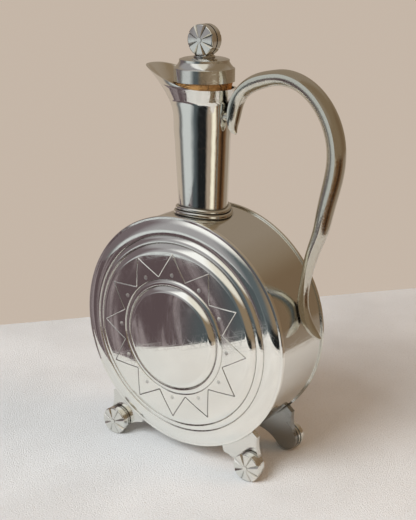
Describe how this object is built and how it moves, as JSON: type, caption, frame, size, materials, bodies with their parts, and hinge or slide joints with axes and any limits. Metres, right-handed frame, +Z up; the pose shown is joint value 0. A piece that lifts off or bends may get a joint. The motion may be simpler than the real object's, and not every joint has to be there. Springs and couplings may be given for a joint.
{
  "type": "jug",
  "caption": "Round-bodied pewter wine jug with a pouring neck, a looped handle, rosette feet and a cork-lined lift-out stopper with a rosette finial.",
  "frame": {"origin": "on the table, on the upright axis that the neck and the stopper share, half-way between the drum's two rims", "axes": "+Z up along the neck and stopper; +X towards the handle, with the pouring lip at -X; the front plate faces -Y, and the drum's axis runs along Y"},
  "size_m": [0.1496, 0.0674, 0.2384],
  "materials": {
    "plate_pewter": "polished pewter with fine hand scratches",
    "wall_pewter": "soft-polished pewter, faintly brushed round the drum",
    "neck_pewter": "polished pewter",
    "handle_pewter": "cast pewter, hand-polished, rubbed bright on the edges",
    "foot_pewter": "cast pewter, polished on the high parts and dull in the cuts",
    "stopper_pewter": "polished pewter, dull in the cuts",
    "cork": "natural cork, darkened, with cracks",
    "stem_metal": "plain turned metal"
  },
  "bodies": {
    "jug": {"drum_wall": "wall_pewter", "front_plate": "plate_pewter", "back_plate": "plate_pewter", "neck": "neck_pewter", "neck_collar": "neck_pewter", "handle": "handle_pewter", "foot_front_left": "foot_pewter", "foot_front_right": "foot_pewter", "foot_back_left": "foot_pewter", "foot_back_right": "foot_pewter", "rosette_front_left": "foot_pewter", "rosette_front_right": "foot_pewter", "rosette_back_left": "foot_pewter", "rosette_back_right": "foot_pewter"},
    "stopper": {"stopper_cap": "stopper_pewter", "finial": "stopper_pewter", "finial_foot": "stopper_pewter", "cork": "cork", "stopper_stem": "stem_metal", "cork_washer": "stem_metal", "stem_nut": "stem_metal"}
  },
  "joints": [
    {"name": "stopper_lift", "type": "slide", "parent": "jug", "child": "stopper", "axis": [0, 0, 1], "range_m": [0, 0.06]}
  ]
}
